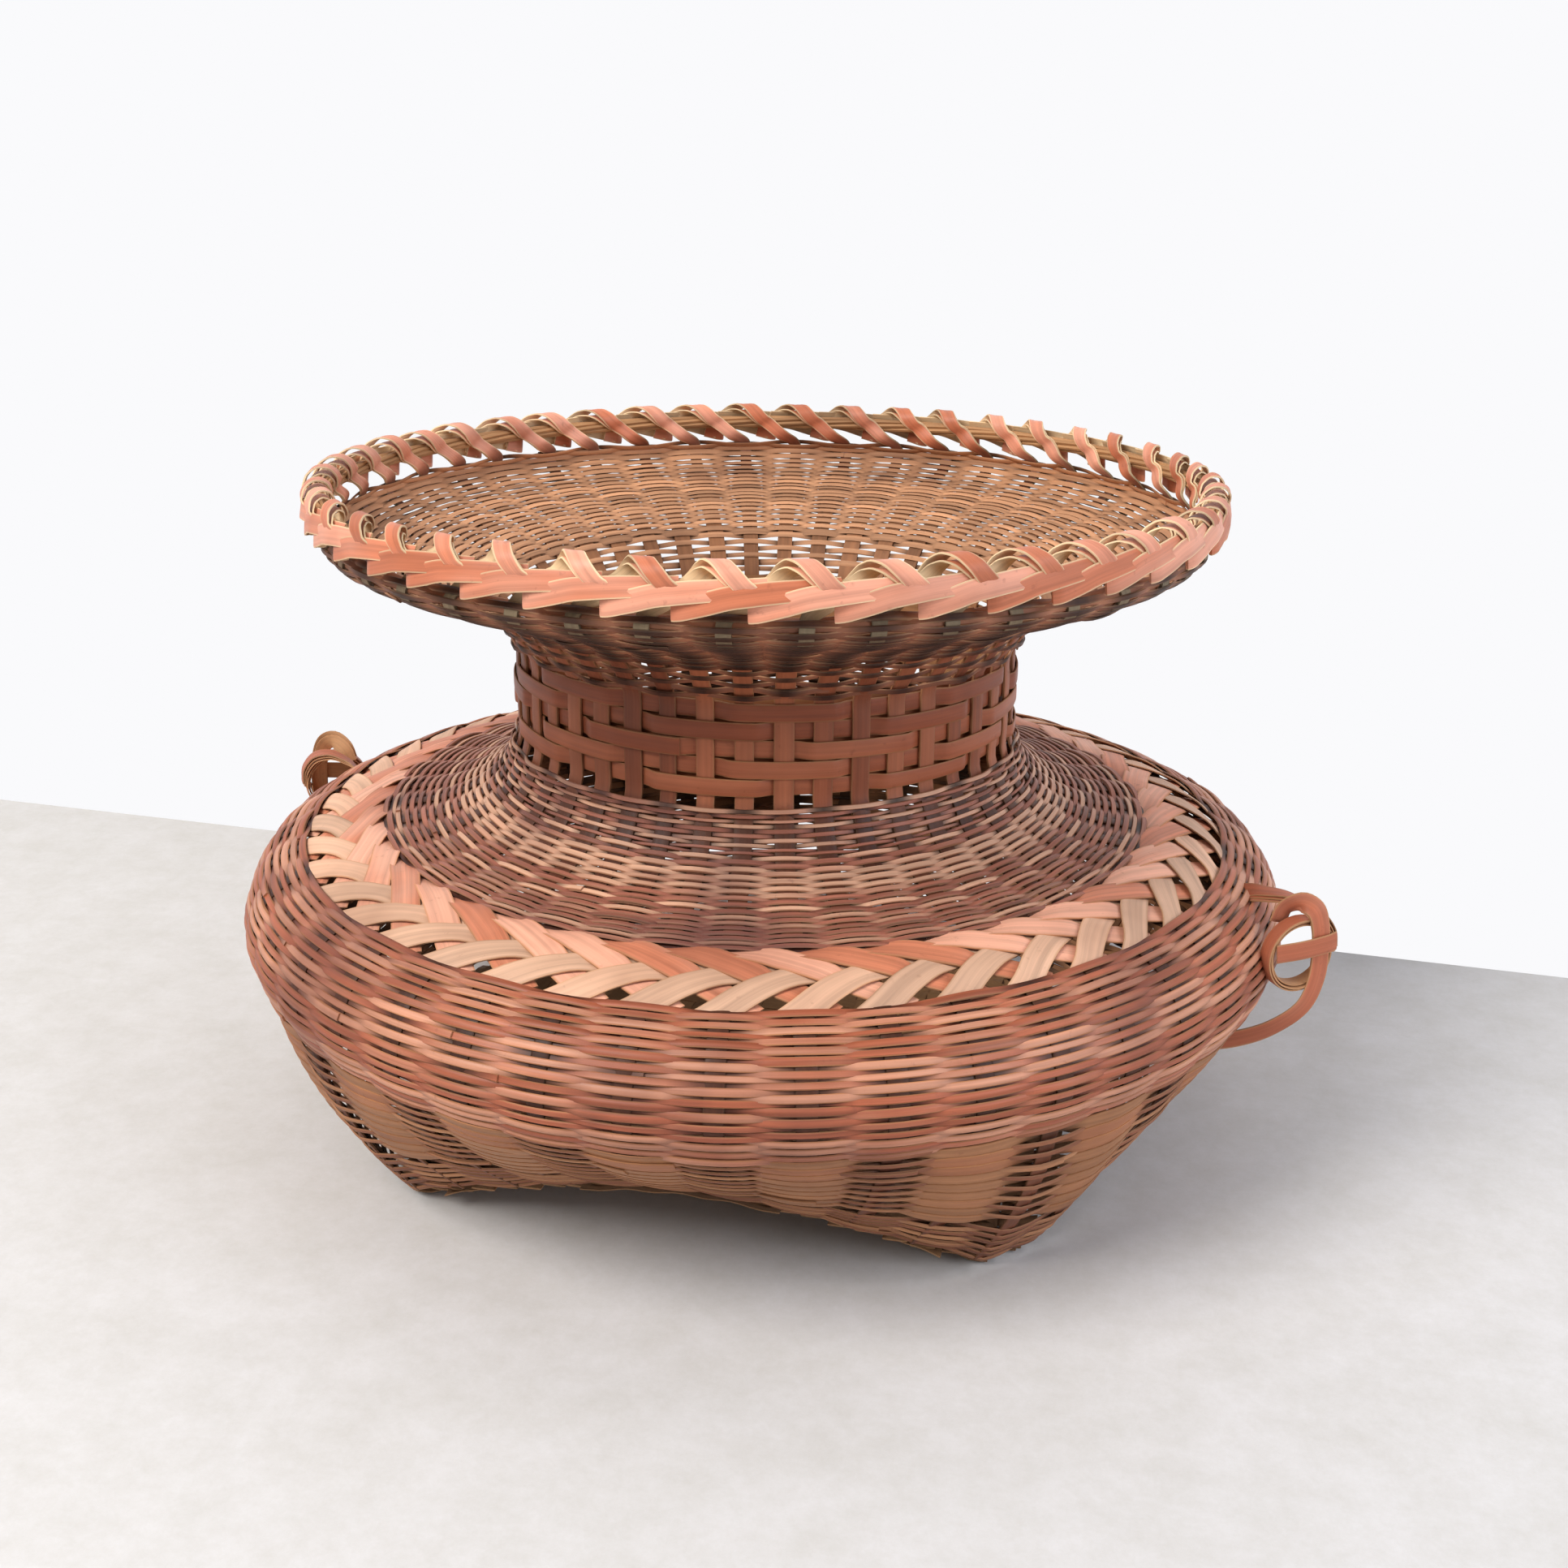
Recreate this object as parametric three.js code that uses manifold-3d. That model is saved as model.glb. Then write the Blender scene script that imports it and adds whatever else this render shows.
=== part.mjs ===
// Bamboo flower basket: an open dish on a latticed neck, over a round body that comes down to four feet.
// Millimetres, +Z up. The origin is on the floor under the middle of the basket.
import * as THREE from "three";
import { mergeVertices } from "three/addons/utils/BufferGeometryUtils.js";
import Module from "manifold-3d";

const wasm = await Module();
wasm.setup();

// Stakes: the split bamboo uprights that everything is woven on
const STAKES = 44;
const STAKE_WIDTH = 8.6;
const STAKE_THICKNESS = 2;
const STAKE_BEVEL = 0.5;
const STAKE_TUCK = 8;

// Gap between two pieces that touch
const CLEARANCE = 0.3;

// Neck: radius to the middle of the stakes, and where the walls below and above it end
const NECK_RADIUS = 121.5;
const NECK_BOTTOM = 198;
const NECK_TOP = 246;

// Lattice strip: one strip wound down the neck, over three stakes and under three
const STRIP_WIDTH = 8;
const STRIP_THICKNESS = 1.2;
const STRIP_DROP = 8.7;
const STRIP_OVER = 3;
const STRIP_CLEARANCE = 0.55;
const STRIP_LEAST_WIDTH = 2;
const STRIP_PHASE = 2;
const STRIP_FLAT = 0.27;
const OPEN_ROW = 4.4;

// Lining band behind the lattice
const LINING_THICKNESS = 1.2;
const LINING_LIFT = 2;

// Woven walls: one thickness, with the weave's own strands inside it
const WALL = 3;
const LOWER_WALL = 3.9;
const ROUND_STEPS = 44;
const SQUARE_STEPS = 48;

// Dish, and the bundle of rods that its rim is rolled over
const RIM_RADIUS = 210;
const RIM_HEIGHT = 315.5;
const DISH_EDGE_DROP = 13.4;
const DISH_FLARE = 1.87;
const DISH_RISES = [0, 0.15, 0.33, 0.52, 0.7, 0.86, 1];
const CORE_RADIUS = 3.6;
const CORE_RODS = 4;
const ROD_GROOVE = 0.6;

// Rim bands: along the rim they are placed in steps, one step from each stake to the next
const BAND_WIDTH = 8.4;
const BAND_THICKNESS = 1.4;
const LOOP_LIFT = 6.4;
const LOOP_LEAN = 0.33;
const LOOP_REACH = 1.2;
const LOOP_TURNS = [180, 140, 100, 60, 20];
const FOLD_AT = 1.2;
const FOLD_DROP = 6.6;
const FOLD_SLANT = 18;
const FOLD_CURL = 0.95;
const RUN_LENGTH = 1.84;
const RUN_RISE = 9;
const RUN_PRESS = 0.25;
const RUN_SHARES = [
  { along: 0.3, inset: 1, rise: 0.5, lean: 0.1 },
  { along: 0.65, inset: 1, rise: 0.8, lean: -0.05 },
  { along: 1, inset: 0.82, rise: 1, lean: -0.3 },
];
const RIM_SMOOTHING = 0.15;

// Shoulder: the plaited ring between its two edges
const BRAID_INNER = [190, 160.5];
const BRAID_OUTER = [227.5, 152.3];

// Body: widest line, and the seam where the fine weave starts over the wide strips
const BELLY_RADIUS = 258.5;
const BELLY_HEIGHT = 117;
const SEAM_INSET = 7;
const SEAM_HEIGHT = 94;
const LOWER_BULGE = 7;
const LOWER_SHARES = [0, 0.33, 0.67, 1];
const BELLY_UPPER = { inset: 0.35, rise: 0.67 };
const BELLY_LOWER = 0.2;
const CONE_SHAPE = [[1, 0], [0.56, 0.1], [0.25, 0.33], [0.06, 0.66], [0, 1]];

// Base: a rounded square that touches the floor at its four corners
const BASE_HALF = 174;
const BASE_SQUARENESS = 3.8;
const SIDE_RISE = 30;
const SIDE_ARCH = 0.8;
const MAT_THICKNESS = 3;
const MAT_FALL = 3;
const FOOT_REACH = 0.94;
const FOOT_SPAN = 4.5;
const CORNER_CROWD = 0.45;
const MAT_RINGS = [0, 0.3, 0.6, 0.8, FOOT_REACH, 1];

// Ears: a coiled ring, an arched strip over it and a cross strip, on each side
const EARS = [{ side: "right", azimuth: -13 }, { side: "left", azimuth: 167 }];
const EAR_TURN = 45;
const EAR_HEIGHT = 121;
const RING_RADIUS = 18.5;
const RING_PLY = 3.6;
const RING_WIDTH = 7.5;
const RING_STEPS = 24;
const EAR_STRIP_WIDTH = 9;
const EAR_STRIP_THICKNESS = 1.3;
const ARCH_RISE = 26;
const ARCH_SPAN = 48;
const ARCH_FALL = 32;
const ARCH_FRONT = 7.5;
const ARCH_SHAPE = [
  { across: [-1, "span"], up: [0.5, "rise"] },
  { across: [-0.5, "span"], up: [0.92, "rise"] },
  { across: [-0.6, "front"], up: [1, "rise"] },
  { across: [0.7, "front"], up: [0.7, "rise"] },
  { across: [1, "front"], up: [0.3, "rise"] },
  { across: [1, "front"], up: [-0.15, "fall"] },
  { across: [0.6, "front"], up: [-0.5, "fall"] },
  { across: [-0.4, "front"], up: [-0.78, "fall"] },
  { across: [-0.35, "span"], up: [-0.94, "fall"] },
  { across: [-0.75, "span"], up: [-1, "fall"] },
  { across: [-1, "span"], up: [-1, "fall"] },
];
const TIE_REACH = 14;
const TIE_RISE = 4.5;
const TIE_SHAPE = [[-1, 0.7], [-0.1, 1], [0.86, 1.3], [1.18, 1.4]];

const PITCH = (2 * Math.PI) / STAKES;
const DEGREE = Math.PI / 180;
const UP = new THREE.Vector3(0, 0, 1);
const DOWN = UP.clone().negate();

const SKIN = { color: 0xb4694a, roughness: 0.45, metalness: 0 };
const AGED = { color: 0x8a5038, roughness: 0.5, metalness: 0 };
const PITH = { color: 0xa5825c, roughness: 0.6, metalness: 0 };
const WEAVE = { color: 0xa8684c, roughness: 0.55, metalness: 0 };

// A closed body from vertices and triangles
function body(vertices, triangles) {
  const geometry = new THREE.BufferGeometry();
  const places = vertices.flatMap((v) => [v.x, v.y, v.z]);
  geometry.setAttribute("position", new THREE.Float32BufferAttribute(places, 3));
  geometry.setIndex(triangles);
  return geometry;
}

// Two triangles for a quad whose corners run anticlockwise seen from outside
function quad(a, b, c, d) {
  return [a, b, c, a, c, d];
}

// A ring whose cross-section can change with the angle; sections are [radius, height] points, anticlockwise
function ringLoft(steps, sectionAt, angleOf = (turn) => turn) {
  const vertices = [];
  const triangles = [];
  const size = sectionAt(0).length;
  for (let i = 0; i < steps; i += 1) {
    const angle = angleOf((i * 2 * Math.PI) / steps);
    for (const [radius, height] of sectionAt(angle)) {
      vertices.push(new THREE.Vector3(radius * Math.cos(angle), radius * Math.sin(angle), height));
    }
  }
  for (let i = 0; i < steps; i += 1) {
    const here = i * size;
    const next = ((i + 1) % steps) * size;
    for (let k = 0; k < size; k += 1) {
      const up = (k + 1) % size;
      triangles.push(...quad(here + k, next + k, next + up, here + up));
    }
  }
  return body(vertices, triangles);
}

// A flat strip through sections, each with its middle, its face normal and the direction of its width
function ribbon(sections, thickness) {
  const vertices = [];
  const triangles = [];
  for (const { middle, across, normal, width } of sections) {
    for (const [side, face] of [[-1, -1], [1, -1], [1, 1], [-1, 1]]) {
      const edge = middle.clone().addScaledVector(across, (side * width) / 2);
      vertices.push(edge.addScaledVector(normal, (face * thickness) / 2));
    }
  }
  const last = (sections.length - 1) * 4;
  triangles.push(...quad(0, 1, 2, 3));
  triangles.push(...quad(last, last + 3, last + 2, last + 1));
  for (let i = 0; i < last; i += 4) {
    for (let k = 0; k < 4; k += 1) {
      const up = (k + 1) % 4;
      triangles.push(...quad(i + k, i + 4 + k, i + 4 + up, i + up));
    }
  }
  return body(vertices, triangles);
}

// Width directions along a path: square to the way the strip runs and to its face
function dressed(path, width) {
  return path.map((point, i) => {
    const before = path[Math.max(i - 1, 0)].middle;
    const after = path[Math.min(i + 1, path.length - 1)].middle;
    const along = after.clone().sub(before).normalize();
    const across = point.across ?? along.clone().cross(point.normal).normalize();
    const normal = point.across ? point.normal : across.clone().cross(along).normalize();
    return { middle: point.middle, across, normal, width: point.width ?? width };
  });
}

// Points on a smooth curve through [radius, height] points
function smooth(points, divisions) {
  const knots = points.map(([r, z]) => new THREE.Vector3(r, 0, z));
  const curve = new THREE.CatmullRomCurve3(knots, false, "centripetal");
  return curve.getPoints(divisions).map((p) => [p.x, p.z]);
}

// The left-hand normal at each point of a line of [radius, height] points
function normals(line) {
  return line.map((_, i) => {
    const a = line[Math.max(i - 1, 0)];
    const b = line[Math.min(i + 1, line.length - 1)];
    const length = Math.hypot(b[0] - a[0], b[1] - a[1]);
    return [-(b[1] - a[1]) / length, (b[0] - a[0]) / length];
  });
}

// The stretch of a wall between two points of the line, with half a gap taken off each end that meets another
function stretch(line, from, to, gapStart, gapEnd) {
  const sides = normals(line).slice(from, to + 1);
  const outer = line.slice(from, to + 1).map((p) => [...p]);
  const trim = (end, inward, gap) => {
    const run = [outer[inward][0] - outer[end][0], outer[inward][1] - outer[end][1]];
    const length = Math.hypot(...run);
    outer[end] = [outer[end][0] + (run[0] * gap) / length, outer[end][1] + (run[1] * gap) / length];
  };
  trim(0, 1, gapStart);
  trim(outer.length - 1, outer.length - 2, gapEnd);
  const inner = outer.map(([r, z], i) => [r + sides[i][0] * WALL, z + sides[i][1] * WALL]);
  return [...outer, ...inner.reverse()];
}

const manifoldOf = (geometry) => {
  const plain = geometry.clone();
  plain.deleteAttribute("normal");
  plain.deleteAttribute("uv");
  const merged = mergeVertices(plain);
  const vertProperties = merged.attributes.position.array;
  const triVerts = Uint32Array.from(merged.index.array);
  return new wasm.Manifold(new wasm.Mesh({ numProp: 3, vertProperties, triVerts }));
};

const geometryOf = (manifold) => {
  const mesh = manifold.getMesh();
  const geometry = new THREE.BufferGeometry();
  geometry.setAttribute("position", new THREE.Float32BufferAttribute(mesh.vertProperties, 3));
  geometry.setIndex([...mesh.triVerts]);
  return geometry;
};

const basket = new THREE.Group();

function add(name, geometry, look) {
  const mesh = new THREE.Mesh(geometry, new THREE.MeshStandardMaterial(look));
  mesh.name = name;
  basket.add(mesh);
  return mesh;
}

// Wall line from the seam over the belly and across the shoulder to the foot of the neck
const stakeFace = NECK_RADIUS + STAKE_THICKNESS / 2;
const throat = stakeFace + CLEARANCE + WALL;
const seam = [BELLY_RADIUS - SEAM_INSET, SEAM_HEIGHT];
const belly = smooth([
  seam,
  [BELLY_RADIUS - SEAM_INSET * BELLY_LOWER, (SEAM_HEIGHT + BELLY_HEIGHT) / 2],
  [BELLY_RADIUS, BELLY_HEIGHT],
  [
    BELLY_RADIUS - (BELLY_RADIUS - BRAID_OUTER[0]) * BELLY_UPPER.inset,
    BELLY_HEIGHT + (BRAID_OUTER[1] - BELLY_HEIGHT) * BELLY_UPPER.rise,
  ],
  BRAID_OUTER,
], 8);
const coneRun = [BRAID_INNER[0] - throat, NECK_BOTTOM - BRAID_INNER[1]];
const cone = smooth(
  CONE_SHAPE.map(([out, up]) => [
    throat + coneRun[0] * out,
    BRAID_INNER[1] + coneRun[1] * up,
  ]),
  7,
);
const wall = [...belly, ...cone];
const braidStart = belly.length - 1;
const coneStart = belly.length;
const wallEnd = wall.length - 1;

// Base: half width of the rounded square at an angle, and how high its edge arches there between the feet
function baseEdge(angle) {
  const power = BASE_SQUARENESS;
  const spread = Math.abs(Math.cos(angle)) ** power + Math.abs(Math.sin(angle)) ** power;
  const radius = BASE_HALF * spread ** (-1 / power);
  const foot = Math.sin(2 * FOOT_SPAN * DEGREE);
  const arch = Math.max(0, (Math.abs(Math.cos(2 * angle)) - foot) / (1 - foot));
  return { radius, height: SIDE_RISE * arch ** SIDE_ARCH };
}

// Underside of the mat: it falls from the raised middle to its edge, which is flat on the floor at the corners
function matUnder(angle, radius) {
  const edge = baseEdge(angle);
  const fall = Math.min(1, radius / edge.radius / FOOT_REACH) ** MAT_FALL;
  return SIDE_RISE - (SIDE_RISE - edge.height) * fall;
}

// Angles that crowd towards the four corners
const toCorners = (turn) => turn + (CORNER_CROWD / 4) * Math.sin(4 * turn);

// Base mat: the plaited square that the basket stands on
const matProfile = [
  ...MAT_RINGS.map((share) => new THREE.Vector2(share, 0)),
  ...[...MAT_RINGS].reverse().map((share) => new THREE.Vector2(share, 1)),
];
const mat = new THREE.LatheGeometry(matProfile, SQUARE_STEPS).rotateX(Math.PI / 2);
const matPoints = mat.attributes.position;
for (let i = 0; i < matPoints.count; i += 1) {
  const angle = toCorners(Math.atan2(matPoints.getY(i), matPoints.getX(i)));
  const radius = Math.hypot(matPoints.getX(i), matPoints.getY(i)) * baseEdge(angle).radius;
  const height = matUnder(angle, radius) + matPoints.getZ(i) * MAT_THICKNESS;
  matPoints.setXYZ(i, radius * Math.cos(angle), radius * Math.sin(angle), height);
}
add("base_mat", mat, PITH);

// Lower wall: wide strips that rise from the square edge of the mat to the round seam
function lowerSection(angle) {
  const edge = baseEdge(angle);
  const foot = [edge.radius, matUnder(angle, edge.radius) + MAT_THICKNESS + CLEARANCE];
  const top = [seam[0], seam[1] - CLEARANCE / 2];
  const outer = LOWER_SHARES.map((share) => {
    const bulge = LOWER_BULGE * 4 * share * (1 - share);
    return [foot[0] + (top[0] - foot[0]) * share + bulge, foot[1] + (top[1] - foot[1]) * share];
  });
  const inner = outer.map(([radius, height]) => [radius - LOWER_WALL, height]);
  return [...outer, ...inner.reverse()];
}
add("lower_weave", ringLoft(SQUARE_STEPS, lowerSection, toCorners), PITH);

// Round walls: the finely woven belly, the plaited shoulder ring and the finely woven cone
const gap = CLEARANCE / 2;
const roundWall = (section) => ringLoft(ROUND_STEPS, () => section);
const bellySection = stretch(wall, 0, braidStart, 0, gap);
bellySection[0] = [seam[0], seam[1] + gap];
bellySection[bellySection.length - 1] = [seam[0] - LOWER_WALL, seam[1] + gap];
add("body_weave", roundWall(bellySection), WEAVE);
add("shoulder_braid", roundWall(stretch(wall, braidStart, coneStart, gap, gap)), SKIN);
add("shoulder_cone", roundWall(stretch(wall, coneStart, wallEnd, gap, 0)), WEAVE);

// Stakes: two-ply uprights, bare in the neck and tucked into the woven wall at both ends
const stakeBottom = NECK_BOTTOM - STAKE_TUCK;
const stakeTop = NECK_TOP + STAKE_TUCK;
const stakeShape = new THREE.Shape([
  new THREE.Vector2(-STAKE_THICKNESS / 2, -STAKE_WIDTH / 2),
  new THREE.Vector2(STAKE_THICKNESS / 2 - STAKE_BEVEL, -STAKE_WIDTH / 2),
  new THREE.Vector2(STAKE_THICKNESS / 2, -STAKE_WIDTH / 2 + STAKE_BEVEL),
  new THREE.Vector2(STAKE_THICKNESS / 2, STAKE_WIDTH / 2 - STAKE_BEVEL),
  new THREE.Vector2(STAKE_THICKNESS / 2 - STAKE_BEVEL, STAKE_WIDTH / 2),
  new THREE.Vector2(-STAKE_THICKNESS / 2, STAKE_WIDTH / 2),
]);
for (let i = 0; i < STAKES; i += 1) {
  const shape = new THREE.ExtrudeGeometry(stakeShape, { depth: stakeTop - stakeBottom, bevelEnabled: false });
  const stake = add(`stake_${String(i + 1).padStart(2, "0")}`, shape, AGED);
  stake.rotation.z = i * PITCH;
  stake.position.set(NECK_RADIUS * Math.cos(i * PITCH), NECK_RADIUS * Math.sin(i * PITCH), stakeBottom);
}

// Neck strip: it winds down the neck and changes side after every third stake. 44 stakes leave two over
// from the sixes, so each turn starts two stakes on and the pattern steps round the neck.
const stripSide = STAKE_THICKNESS / 2 + STRIP_CLEARANCE + STRIP_THICKNESS / 2;
const stripTop = NECK_TOP - CLEARANCE;
const stripBottom = NECK_BOTTOM + OPEN_ROW;
const stripDropPerStake = STRIP_DROP / STAKES;
const stripTurns = (stripTop - stripBottom + STRIP_WIDTH - 2 * STRIP_LEAST_WIDTH) / STRIP_DROP;
const stripCrossings = Math.floor(stripTurns * STAKES);
const isOver = (crossing) => Math.floor((crossing + STRIP_PHASE) / STRIP_OVER) % 2 === 0;

function stripSection(crossing, side) {
  const angle = crossing * PITCH;
  const outward = new THREE.Vector3(Math.cos(angle), Math.sin(angle), 0);
  const centre = stripTop + STRIP_WIDTH / 2 - STRIP_LEAST_WIDTH - stripDropPerStake * crossing;
  const top = Math.min(centre + STRIP_WIDTH / 2, stripTop);
  const bottom = Math.max(centre - STRIP_WIDTH / 2, stripBottom);
  const middle = outward.clone().multiplyScalar(NECK_RADIUS + side * stripSide).setZ((top + bottom) / 2);
  return { middle, across: DOWN, normal: outward, width: top - bottom };
}

const stripPath = [];
for (let n = 0; n <= stripCrossings; n += 1) {
  const side = isOver(n) ? 1 : -1;
  stripPath.push(stripSection(n, side));
  if (n < stripCrossings && isOver(n + 1) !== isOver(n)) {
    stripPath.push(stripSection(n + STRIP_FLAT, side));
    stripPath.push(stripSection(n + 1 - STRIP_FLAT, -side));
  }
}
add("neck_strip", ribbon(stripPath, STRIP_THICKNESS), SKIN);

// Neck lining: a wide band that stands inside the lattice
const liningOuter = NECK_RADIUS - stripSide - STRIP_THICKNESS / 2 - CLEARANCE;
const liningBottom = stripBottom + LINING_LIFT;
add("neck_lining", roundWall([
  [liningOuter, liningBottom],
  [liningOuter, stripTop],
  [liningOuter - LINING_THICKNESS, stripTop],
  [liningOuter - LINING_THICKNESS, liningBottom],
]), AGED);

// Collar: the finely woven dish wall, flaring from the neck to its edge under the rim
const facetDip = RIM_RADIUS * (1 - Math.cos(PITCH / 2));
const loopSnug = CORE_RADIUS + facetDip + CLEARANCE + BAND_THICKNESS / 2;
const dishEdge = [RIM_RADIUS - loopSnug, RIM_HEIGHT - DISH_EDGE_DROP];
const flare = DISH_RISES.map((rise) => [
  throat + (dishEdge[0] - throat) * rise ** DISH_FLARE,
  NECK_TOP + (dishEdge[1] - NECK_TOP) * rise,
]);
add("collar", roundWall(stretch(flare, 0, flare.length - 1, 0, 0)), WEAVE);

// Rim core: a bundle of thin rods that the stakes' ends are rolled over
const coreSection = [];
for (let k = 0; k < CORE_RODS * 2; k += 1) {
  const turn = (k * Math.PI) / CORE_RODS;
  const radius = CORE_RADIUS - (k % 2) * ROD_GROOVE;
  coreSection.push([RIM_RADIUS + radius * Math.cos(turn), RIM_HEIGHT + radius * Math.sin(turn)]);
}
add("rim_core", roundWall(coreSection), PITH);

// Rolled rim: each stake's end rises inside the core, arches over it, comes down outside and folds back at
// its foot. It then runs on anticlockwise, rising, over the next band's leg, and its tip is held under the
// loop two stakes further on. Where it lies on that leg the two are one, so the whole roll is one piece.
// Places are given along the rim, outward from the core's middle, and up from it.
function onRim(start, along, outward, up) {
  const angle = start + along / RIM_RADIUS;
  const radius = RIM_RADIUS + outward;
  return new THREE.Vector3(radius * Math.cos(angle), radius * Math.sin(angle), RIM_HEIGHT + up);
}

function rimDirection(start, along, [round, outward, up]) {
  const angle = start + along / RIM_RADIUS;
  return new THREE.Vector3(
    outward * Math.cos(angle) - round * Math.sin(angle),
    outward * Math.sin(angle) + round * Math.cos(angle),
    up,
  ).normalize();
}

const rimStep = RIM_RADIUS * PITCH;
const runOut = loopSnug + BAND_THICKNESS - RUN_PRESS;
const postFoot = -DISH_EDGE_DROP + WALL + CLEARANCE;

function rimBand(start) {
  const path = [];
  const place = (steps, outward, up, normal, across) => {
    const along = steps * rimStep;
    path.push({
      middle: onRim(start, along, outward, up),
      normal: rimDirection(start, along, normal),
      across: across && rimDirection(start, along, across),
    });
  };
  place(0, -loopSnug, postFoot, [0, -1, 0], [-1, 0, 0]);
  const [first, last] = [LOOP_TURNS[0], LOOP_TURNS[LOOP_TURNS.length - 1]];
  for (const turn of LOOP_TURNS) {
    const reach = (first - turn) / (first - last);
    const radius = loopSnug + LOOP_LIFT * Math.sin(turn * DEGREE) ** 1.5;
    const out = Math.cos(turn * DEGREE);
    const up = Math.sin(turn * DEGREE);
    place(LOOP_LEAN + (LOOP_REACH - LOOP_LEAN) * reach, radius * out, radius * up, [0, out, up]);
  }
  const slant = [Math.cos(FOLD_SLANT * DEGREE), Math.sin(FOLD_SLANT * DEGREE)];
  const crease = [-slant[1], 0, slant[0]];
  const curl = [(FOLD_CURL * slant[0]) / rimStep, FOLD_CURL * slant[1]];
  place(FOLD_AT, loopSnug, -FOLD_DROP, [0, 1, 0], crease);
  place(FOLD_AT - curl[0], (loopSnug + runOut) / 2, -FOLD_DROP - curl[1], [slant[0], 0, slant[1]], crease);
  place(FOLD_AT, runOut, -FOLD_DROP, [0, -1, 0], crease);
  for (const { along, inset, rise, lean } of RUN_SHARES) {
    place(FOLD_AT + RUN_LENGTH * along, runOut * inset, -FOLD_DROP + RUN_RISE * rise, [0, -1, lean]);
  }
  return ribbon(dressed(path, BAND_WIDTH), BAND_THICKNESS);
}

let rolledRim = manifoldOf(rimBand(0));
for (let i = 1; i < STAKES; i += 1) {
  rolledRim = rolledRim.add(manifoldOf(rimBand(i * PITCH)));
}
add("rolled_rim", geometryOf(rolledRim.asOriginal().simplify(RIM_SMOOTHING)), SKIN);

// Body filled in and grown by the clearance, to trim what ends at its wall
function envelope() {
  const grown = (section) => section.map(([radius, height]) => [radius + CLEARANCE, height]);
  const outer = normals(belly).map((n, i) => [belly[i][0] - n[0] * CLEARANCE, belly[i][1] - n[1] * CLEARANCE]);
  return manifoldOf(ringLoft(SQUARE_STEPS * 2, (angle) => {
    const lower = grown(lowerSection(angle).slice(0, 4));
    return [...lower, ...outer, BRAID_INNER, [BRAID_INNER[0] / 2, lower[0][1]]];
  }));
}

// Ear places: across the ring's plane, up, and out of the plane towards the front
function earFrame(azimuth) {
  const angle = azimuth * DEGREE;
  const turned = angle + EAR_TURN * DEGREE;
  const out = new THREE.Vector3(Math.cos(turned), Math.sin(turned), 0);
  const face = new THREE.Vector3(Math.sin(turned), -Math.cos(turned), 0);
  const reach = BELLY_RADIUS + CLEARANCE + RING_RADIUS * Math.cos(EAR_TURN * DEGREE);
  const centre = new THREE.Vector3(Math.cos(angle), Math.sin(angle), 0).multiplyScalar(reach).setZ(EAR_HEIGHT);
  const at = (across, up, front) => {
    const place = centre.clone().addScaledVector(out, across).addScaledVector(UP, up);
    return { middle: place.addScaledVector(face, front), normal: face };
  };
  return { out, face, centre, at };
}

const clearBody = envelope();
for (const { side, azimuth } of EARS) {
  const { out, face, centre, at } = earFrame(azimuth);
  const inner = RING_RADIUS - RING_PLY;
  const half = RING_WIDTH / 2;
  const corners = [[inner, -half], [RING_RADIUS, -half], [RING_RADIUS, half], [inner, half], [inner, -half]];
  const ring = new THREE.LatheGeometry(corners.map((p) => new THREE.Vector2(...p)), RING_STEPS);
  ring.applyMatrix4(new THREE.Matrix4().makeBasis(out, face, out.clone().cross(face)).setPosition(centre));
  add(`ear_${side}_ring`, geometryOf(manifoldOf(ring).subtract(clearBody)), SKIN);

  // The arch leaves the wall above the ring, comes down before it and goes back into the wall below it
  const front = half + CLEARANCE + EAR_STRIP_THICKNESS / 2;
  const archSizes = { span: ARCH_SPAN, rise: ARCH_RISE, fall: ARCH_FALL, front: ARCH_FRONT };
  const scaled = ([share, size]) => share * archSizes[size];
  const arch = ARCH_SHAPE.map(({ across, up }) => at(scaled(across), scaled(up), front));
  const archStrip = manifoldOf(ribbon(dressed(arch, EAR_STRIP_WIDTH), EAR_STRIP_THICKNESS)).subtract(clearBody);
  add(`ear_${side}_arch`, geometryOf(archStrip), SKIN);

  // The tie crosses over the arch, with both ends down on the ring's front
  const over = front + EAR_STRIP_THICKNESS + CLEARANCE;
  const tieFronts = [front, over, over, (front + over) / 2];
  const tie = TIE_SHAPE.map(([across, up], i) => at(across * TIE_REACH, up * TIE_RISE, tieFronts[i]));
  add(`ear_${side}_tie`, ribbon(dressed(tie, EAR_STRIP_WIDTH), EAR_STRIP_THICKNESS), SKIN);
}

export default basket;
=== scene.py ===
import math

import bpy
import numpy as np
from mathutils import Matrix, Vector


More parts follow.
